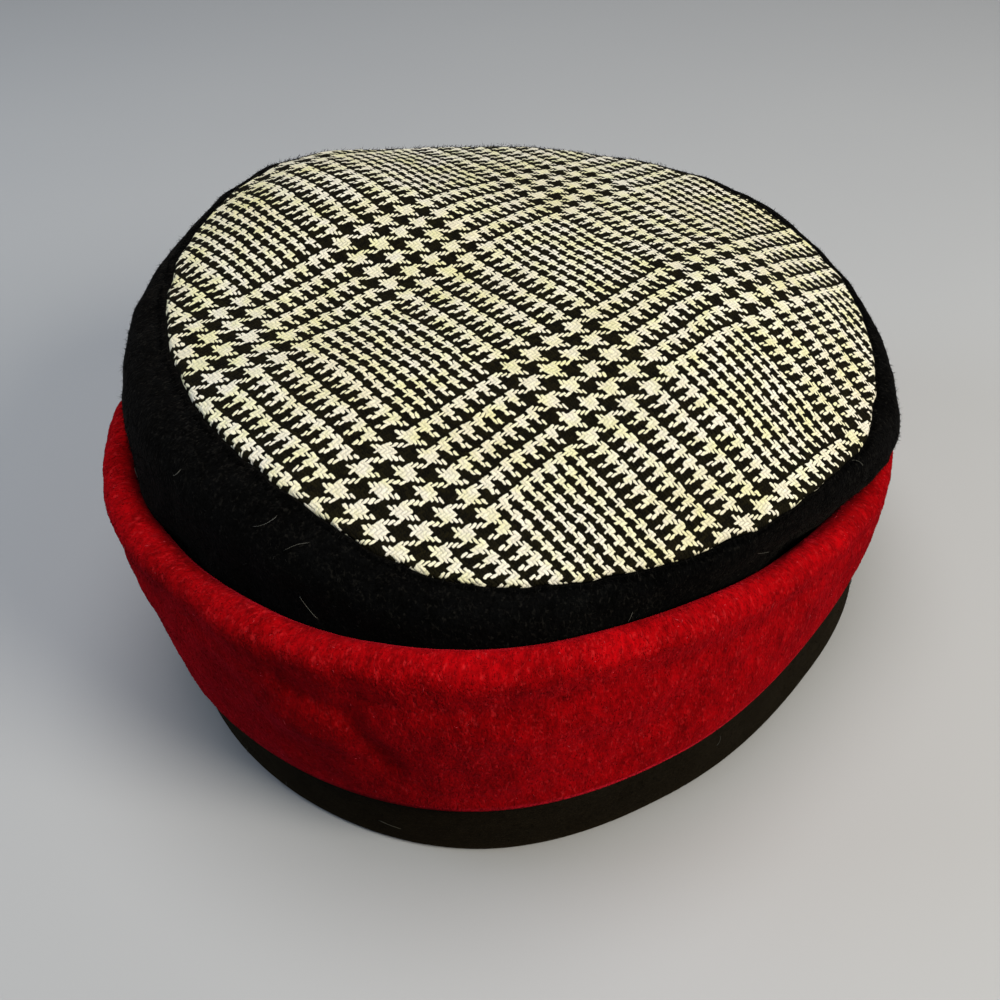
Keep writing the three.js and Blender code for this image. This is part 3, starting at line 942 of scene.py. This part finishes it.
class HAT_OT_crown_tip(bpy.types.Operator):
    """Builds the crown tip, a domed disc of glen check with its edge turned into the seam"""

    bl_idname = "hat.crown_tip"
    bl_label = "Crown Tip"

    def execute(self, context):
        form, cloth = context.scene.hat_form, context.scene.hat_cloth
        count = TIP_STEPS
        angles = turns(count)
        radius, height = tip_lines(form, Section(angles))
        length = np.concatenate([np.zeros((1, count)), np.cumsum(
            np.hypot(np.diff(radius, axis=0), np.diff(height, axis=0)), 0)])
        cos, sin = np.cos(angles), np.sin(angles)
        top = np.stack([AXIS.x + radius * cos, AXIS.y + radius * sin, height], -1)
        lumps = lumps_of(TIP_LUMPS, top[:-TIP_EDGE_RINGS])
        top[:-TIP_EDGE_RINGS, :, 2] += lumps
        top[-TIP_EDGE_RINGS:, :, 2] += lumps[-1]
        thickness = np.array([0, 0, form.tip_cloth])
        under_rows = list(range(TIP_RINGS, 0, -TIP_UNDER_EVERY))
        under = top[under_rows] - thickness
        across, along = length * cos, length * sin
        c, s = math.cos(CHECK_TURN), math.sin(CHECK_TURN)
        threads = np.stack([(across * c + along * s) / THREAD_ACROSS + CHECK_START[0],
                            (across * s - along * c) / THREAD_ALONG + CHECK_START[1],
                            0 * across], -1)
        centre = np.array([AXIS.x, AXIS.y, height[0, 0] + lumps[0, 0]])
        rings = np.concatenate([top[1:], under])
        places = np.concatenate([threads[1:], threads[under_rows]])
        points = np.concatenate([[centre], rings.reshape(-1, 3), [centre - thickness]])
        places = np.concatenate([[threads[0, 0]], places.reshape(-1, 3), [threads[0, 0]]])
        faces = []
        last = len(points) - 1
        end = last - count
        for i in range(count):
            j = (i + 1) % count
            faces.append((0, 1 + i, 1 + j))
            faces.append((last, end + j, end + i))
            for ring in range(len(rings) - 1):
                near, far = 1 + ring * count, 1 + (ring + 1) * count
                faces.append((near + i, far + i, far + j, near + j))
        piece = make_piece("crown_tip_cloth", points, faces, places, check_cloth(cloth),
                           "crown_tip")
        return {"FINISHED"}


class HAT_OT_side_wall(bpy.types.Operator):
    """Builds the fleece side wall, which bulges over the cuff"""

    bl_idname = "hat.side_wall"
    bl_label = "Side Wall"

    def execute(self, context):
        form, cloth = context.scene.hat_form, context.scene.hat_cloth
        face, angles = wall_face(form, FLEECE_STEPS)
        section = Section(angles)
        outer = wall_lines(form, section)
        inner = offset_inwards(outer[:, ::WALL_INNER_EVERY], form.side_cloth)
        inner[:, 0] = outer[:, 0] + WALL_TUCK
        inner[:, -1, 0] = section.hem_radius - WALL_INSIDE_HEM
        inner[:, -1, 1] = section.hem_top + WALL_ABOVE_HEM
        grid = np.concatenate([face, turned(inner, angles)[:, ::-1]], 1)
        faces = ring_faces(len(angles), grid.shape[1])
        material = fleece("black fleece", cloth.wall_fleece, **BLACK_FLEECE)
        place = seamless_place(angles, run_along(grid))
        piece = make_piece("crown_side_fleece", grid, faces, place, material,
                           "crown_side")
        return {"FINISHED"}


class HAT_OT_cuff(bpy.types.Operator):
    """Builds the turned-up cuff, one strip of fleece folded over at its top edge"""

    bl_idname = "hat.cuff"
    bl_label = "Cuff"

    def execute(self, context):
        form, cloth = context.scene.hat_form, context.scene.hat_cloth
        face, inner, angles = cuff_face(form, FLEECE_STEPS)
        section = Section(angles)
        grid = np.concatenate([face, inner[:, ::-CUFF_INNER_EVERY]], 1)
        faces = ring_faces(len(angles), grid.shape[1])
        # the red fleece darkens with painted shade in the corner where the wall rests on the roll
        material = fleece("red fleece", cloth.cuff_fleece, **RED_FLEECE, folded=True)
        place = seamless_place(angles, run_along(grid))
        piece = make_piece("cuff_fleece", grid, faces, place, material, "cuff")
        # how far each point of the roll lies into the corner of painted shade where the wall meets
        # it
        steps = ROLL_POINTS - 1
        turn = np.clip(np.arange(grid.shape[1]) - FACE_POINTS, 0, steps) / steps * math.pi
        deepest = np.minimum(rest_turn(form, section), CORNER_TURN)
        corner = (turn - deepest[:, None]) / CORNER_WIDTH + 1
        corner[:, face.shape[1]:] = 1
        fold = piece.data.attributes.new("fold_depth", "FLOAT", "POINT")
        fold.data.foreach_set("value", np.clip(corner, 0, 1).astype(np.float32).ravel())
        return {"FINISHED"}


class HAT_OT_hem_band(bpy.types.Operator):
    """Builds the folded hem band that the hat stands on"""

    bl_idname = "hat.hem_band"
    bl_label = "Hem Band"

    def execute(self, context):
        form, cloth = context.scene.hat_form, context.scene.hat_cloth
        angles = turns(HEM_STEPS)
        section = Section(angles)
        grid = turned(hem_lines(form, section), angles)
        rise = np.clip(grid[..., 2] / HEM_FREE, 0, 1)
        grid = grid + facing(grid) * (lumps_of(HEM_LUMPS, grid) * rise)[..., None]
        faces = ring_faces(len(angles), grid.shape[1])
        material = fleece("black hem cloth", cloth.hem_cloth, **BLACK_HEM)
        place = seamless_place(angles, run_along(grid))
        piece = make_piece("hem_band_cloth", grid, faces, place, material,
                           "hem_band")
        return {"FINISHED"}


def scatter(grid, count, chance, random):
    """Random spots on a grid that closes around, more where chance is larger: place, normal,
    and the directions along the line and around."""
    normal = facing(grid)
    across = np.roll(grid, -1, 0) - grid
    down = np.diff(grid, axis=1)
    area = np.linalg.norm(across, axis=2)[:, :-1] * np.linalg.norm(down, axis=2) * chance
    cells = random.choice(area.size, count, p=(area / area.sum()).ravel())
    i, j = np.unravel_index(cells, area.shape)
    a, b = random.random(count)[:, None], random.random(count)[:, None]
    spot = grid[i, j] + across[i, j] * a + down[i, j] * b
    along = down[i, j] / np.linalg.norm(down[i, j], axis=1, keepdims=True)
    side = across[i, j] / np.linalg.norm(across[i, j], axis=1, keepdims=True)
    return spot, normal[i, j], along, side


def make_fibres(name, spots, ways, lengths, width, material, random):
    """Adds closed pointed fibres that stand at spots and point in ways."""
    count = len(spots)
    ways = ways / np.linalg.norm(ways, axis=1, keepdims=True)
    level = np.cross(ways, random.normal(size=(count, 3)))
    level /= np.linalg.norm(level, axis=1, keepdims=True)
    other = np.cross(ways, level)
    points = np.empty((count, 4, 3))
    for k in range(3):
        turn = 2 * math.pi * k / 3
        points[:, k] = spots + (level * math.cos(turn) + other * math.sin(turn)) * width / 2
    points[:, 3] = spots + ways * lengths[:, None]
    start = 4 * np.arange(count)[:, None]
    faces = np.concatenate([start + np.array(f) for f in
                            ((0, 2, 1), (0, 1, 3), (1, 2, 3), (2, 0, 3))], 1).reshape(-1, 3)
    mesh = bpy.data.meshes.new(name)
    mesh.from_pydata(points.reshape(-1, 3).tolist(), [], faces.tolist())
    strand = mesh.uv_layers.new(name="OFBake")
    shade = np.repeat(random.random(count) * 0.98, 4)
    corner = faces.ravel()
    # u is the fibre's own tone and v runs from its root to its tip, for fibre_colours
    uv = np.stack([shade[corner] + 0.01 * (corner % 4 == 1), (corner % 4 == 3) * 0.98 + 0.01], -1)
    strand.data.foreach_set("uv", np.ascontiguousarray(uv, np.float32).ravel())
    add_mesh(mesh, material)


def fibre_ways(directions, lift, down, across, random):
    """Ways that fibres point: how far they lift off the cloth, and the middle and the spread of
    how far they lean down and across it."""
    normal, along, side = directions
    ways = normal * np.reshape(lift, (-1, 1))
    ways += along * random.normal(*down, len(ways))[:, None]
    ways += side * random.normal(*across, len(ways))[:, None]
    return ways


class HAT_OT_raised_fibres(bpy.types.Operator):
    """Adds the fibres that stand up from the fleece of the cuff and the side wall and the hem"""

    bl_idname = "hat.raised_fibres"
    bl_label = "Raised Fibres"

    def execute(self, context):
        form, cloth = context.scene.hat_form, context.scene.hat_cloth
        random = np.random.default_rng(7)
        red = fibre_colours("red fibres", **RED_FIBRES)
        face, _, _ = cuff_face(form, PILE_STEPS)
        row = np.arange(face.shape[1] - 1)
        shown = np.where(row < FACE_POINTS, 1.0,
                         np.where(row < FACE_POINTS + ROLL_IN_SIGHT, ON_ROLL, HARDLY_SEEN))
        spot, *directions = scatter(face, cloth.cuff_fibres, shown, random)
        lift = random.uniform(0.08, 0.45, len(spot))
        ways = fibre_ways(directions, lift, (0.5, 0.8), (0, 0.6), random)
        long = random.uniform(0.7, 1.7, len(spot)) * MM
        make_fibres("cuff_fibres", spot - directions[0] * 0.08 * MM, ways, long, CUFF_FIBRE, red,
                    random)

        black = fibre_colours("black fibres", **BLACK_FIBRES)
        face, angles = wall_face(form, PILE_STEPS)
        row = np.arange(face.shape[1] - 1)
        shown = np.where(row < WALL_LOW_FROM, 1.0,
                         np.where(row < WALL_IN_SIGHT, LOW_ON_WALL, HARDLY_SEEN))
        spot, *directions = scatter(face, cloth.wall_fibres, shown, random)
        lift = random.uniform(0.1, 0.6, len(spot))
        ways = fibre_ways(directions, lift, (0, 0.7), (0, 0.7), random)
        long = random.uniform(0.8, 1.7, len(spot)) * MM
        # fibres from the wall's top edge, which reach up and in over the crown's seam
        fringe = random.integers(0, len(angles), cloth.seam_fibres)
        up = -(face[fringe, 6] - face[fringe, 0])
        inward = np.stack([-np.cos(angles[fringe]), -np.sin(angles[fringe]), 0 * fringe], -1)
        up = up / np.linalg.norm(up, axis=1, keepdims=True) + 0.25 * inward
        up += random.normal(0, 0.35, up.shape)
        spot = np.concatenate([spot - directions[0] * 0.1 * MM,
                               face[fringe, 1] + random.normal(0, 0.3 * MM, up.shape)])
        long = np.concatenate([long, random.uniform(0.8, 2.6, len(up)) * MM])
        make_fibres("wall_fibres", spot, np.concatenate([ways, up]), long, WALL_FIBRE, black,
                    random)

        outside = HEM_FACE_POINTS + HEM_TURN_POINTS // 2 - 1
        grid = turned(hem_lines(form, Section(angles)), angles)[:, :outside]
        scattered = scatter(grid, cloth.hem_fibres, np.ones(grid.shape[1] - 1), random)
        keep = scattered[0][:, 2] > HEM_FIBRES_FROM
        spot, *directions = (part[keep] for part in scattered)
        ways = fibre_ways(directions, 0.4, (0, 0.8), (0, 0.8), random)
        long = random.uniform(0.5, 1.0, len(spot)) * MM
        make_fibres("hem_fibres", spot - directions[0] * 0.1 * MM, ways, long, HEM_FIBRE, black,
                    random)
        return {"FINISHED"}


def hair_path(grid, normal, start, heading, bend, length, lift, steps):
    """Points of a hair that lies over a grid that closes around, from a cell and a heading."""
    i, j = float(start[0]), float(start[1])
    points = []
    for k in range(steps + 1):
        a, b = int(i) % len(grid), int(np.clip(j, 0, grid.shape[1] - 2))
        s, t = i % 1, np.clip(j - b, 0, 1)
        across, down = grid[(a + 1) % len(grid), b] - grid[a, b], grid[a, b + 1] - grid[a, b]
        rise = lift * (0.25 + math.sin(math.pi * k / steps))
        points.append(grid[a, b] + across * s + down * t + normal[a, b] * rise)
        i += math.cos(heading) * length / steps / np.linalg.norm(across)
        j += math.sin(heading) * length / steps / np.linalg.norm(down)
        heading += bend / steps
    return np.array(points)


def hair_mesh(paths, width):
    """One mesh of closed thin three-sided tubes along paths, drawn to a point at both ends."""
    points, faces = [], []
    for path in paths:
        way = np.gradient(path, axis=0)
        way /= np.linalg.norm(way, axis=1, keepdims=True)
        level = np.cross(way, (0.3, 0.2, 1.0))
        level /= np.linalg.norm(level, axis=1, keepdims=True)
        other = np.cross(way, level)
        base, last = len(points), len(path) - 1
        for k, place in enumerate(path):
            radius = width / 2 * (0.25 if k in (0, last) else 1.0)
            for turn in (0, 2 * math.pi / 3, 4 * math.pi / 3):
                points.append(place + radius * (level[k] * math.cos(turn)
                                                + other[k] * math.sin(turn)))
        for k in range(last):
            for m in range(3):
                a, b = base + 3 * k + m, base + 3 * k + (m + 1) % 3
                faces.append((a, b, b + 3, a + 3))
        faces.append((base + 2, base + 1, base))
        faces.append((base + 3 * last, base + 3 * last + 1, base + 3 * last + 2))
    return points, faces


class HAT_OT_stray_hairs(bpy.types.Operator):
    """Adds the loose pale hairs and lint that the fleece has caught"""

    bl_idname = "hat.stray_hairs"
    bl_label = "Stray Hairs"

    def execute(self, context):
        form, cloth = context.scene.hat_form, context.scene.hat_cloth
        random = np.random.default_rng(21)
        wall, angles = wall_face(form, PILE_STEPS)
        cuff, _, _ = cuff_face(form, PILE_STEPS)
        hem = turned(hem_lines(form, Section(angles)), angles)
        # each face with the first and the last of the rows that hairs lie on, the wall's twice
        places = ((wall, 4, 30), (wall, 4, 30), (hem, 2, 10), (cuff, 4, 38))
        paths = []
        for k in range(cloth.stray_hairs):
            grid, low, high = places[k % len(places)]
            start = (random.integers(0, len(angles)), random.uniform(low, high))
            paths.append(hair_path(grid, facing(grid), start, random.uniform(0, 2 * math.pi),
                                   random.normal(0, 1.5), random.uniform(2.5, 8) * MM,
                                   random.uniform(0.15, 0.45) * MM, 8))
        points, faces = hair_mesh(paths, HAIR)
        mesh = bpy.data.meshes.new("stray_hairs")
        mesh.from_pydata(points, [], faces)
        material, tree, shader = new_material("pale hair", roughness=0.6, specular=0.2)
        place = tree.node("ShaderNodeTexCoord").outputs["Object"]
        tone = place_group(tree, "Cloth Tone", Vector=place, Color=(0.16, 0.165, 0.15),
                           Worn_Color=(0.5, 0.45, 0.35), Amount=1.0, Scale=60.0)
        tree.link(tone.outputs["Color"], shader.inputs["Base Color"])
        add_mesh(mesh, material)
        return {"FINISHED"}


class HAT_OT_stage(bpy.types.Operator):
    """Sets up the camera, the pale floor and the soft studio lights"""

    bl_idname = "hat.stage"
    bl_label = "Stage"

    def execute(self, context):
        scene, studio = context.scene, context.scene.hat_studio
        camera = bpy.data.objects.new("camera", bpy.data.cameras.new("camera"))
        scene.collection.objects.link(camera)
        right, up = Vector(CAMERA_RIGHT), Vector(CAMERA_UP)
        axes = Matrix((right, up, right.cross(up))).transposed().to_4x4()
        camera.matrix_world = Matrix.Translation(CAMERA_PLACE) @ axes
        camera.data.lens = studio.lens / MM
        camera.data.sensor_width = 36
        camera.data.clip_start = 0.01
        camera.data.clip_end = 20
        scene.camera = camera

        mesh = bpy.data.meshes.new("floor")
        ends = (-FLOOR_REACH, FLOOR_REACH)
        mesh.from_pydata([(x, y, 0) for y in ends for x in ends], [], [(0, 1, 3, 2)])
        material, tree, shader = new_material("studio floor", roughness=0.6, specular=0.2)
        place = tree.node("ShaderNodeTexCoord").outputs["Object"]
        tone = place_group(tree, "Cloth Tone", Vector=place, Color=studio.floor_colour,
                           Worn_Color=(0.96, 0.96, 0.97), Amount=0.5, Scale=3.0)
        tree.link(tone.outputs["Color"], shader.inputs["Base Color"])
        mesh.materials.append(material)
        floor = bpy.data.objects.new("floor", mesh)
        scene.collection.objects.link(floor)
        floor.visible_diffuse = False

        for name, power, place, size, colour in LAMPS:
            lamp = bpy.data.lights.new(name, "AREA")
            lamp.shape = "DISK"
            lamp.size = size
            lamp.energy = getattr(studio, power)
            lamp.color = colour
            made = bpy.data.objects.new(name, lamp)
            made.location = place
            made.rotation_mode = "QUATERNION"
            aim = Vector(LAMP_AIM) - Vector(place)
            made.rotation_quaternion = aim.to_track_quat("-Z", "Y")
            scene.collection.objects.link(made)

        world = bpy.data.worlds.new("studio")
        world.use_nodes = True
        sky = world.node_tree.nodes["Background"]
        sky.inputs["Color"].default_value = SKY_COLOUR
        sky.inputs["Strength"].default_value = SKY_STRENGTH
        scene.world = world
        scene.view_settings.view_transform = "Standard"
        return {"FINISHED"}


class HAT_PT_panel(bpy.types.Panel):
    """Lists the hat's pieces and settings"""

    bl_label = "Pillbox Hat"
    bl_idname = "HAT_PT_panel"
    bl_space_type = "VIEW_3D"
    bl_region_type = "UI"
    bl_category = "Hat"

    def draw(self, context):
        for operator in OPERATORS:
            self.layout.operator(operator.bl_idname)
        for group in (context.scene.hat_form, context.scene.hat_cloth, context.scene.hat_studio):
            box = self.layout.box()
            for name in group.__annotations__:
                box.prop(group, name)


OPERATORS = (HAT_OT_stage, HAT_OT_crown_tip, HAT_OT_side_wall, HAT_OT_cuff, HAT_OT_hem_band,
             HAT_OT_raised_fibres, HAT_OT_stray_hairs)
CLASSES = (HatForm, HatCloth, HatStudio, *OPERATORS, HAT_PT_panel)


def register():
    for kind in CLASSES:
        bpy.utils.register_class(kind)
    bpy.types.Scene.hat_form = bpy.props.PointerProperty(type=HatForm)
    bpy.types.Scene.hat_cloth = bpy.props.PointerProperty(type=HatCloth)
    bpy.types.Scene.hat_studio = bpy.props.PointerProperty(type=HatStudio)


def unregister():
    del bpy.types.Scene.hat_studio
    del bpy.types.Scene.hat_cloth
    del bpy.types.Scene.hat_form
    for kind in reversed(CLASSES):
        bpy.utils.unregister_class(kind)


def main():
    """Builds the whole hat on its stage."""
    register()
    bpy.ops.hat.stage()
    bpy.ops.hat.crown_tip()
    bpy.ops.hat.side_wall()
    bpy.ops.hat.cuff()
    bpy.ops.hat.hem_band()
    bpy.ops.hat.raised_fibres()
    bpy.ops.hat.stray_hairs()


if __name__ == "__main__":
    main()
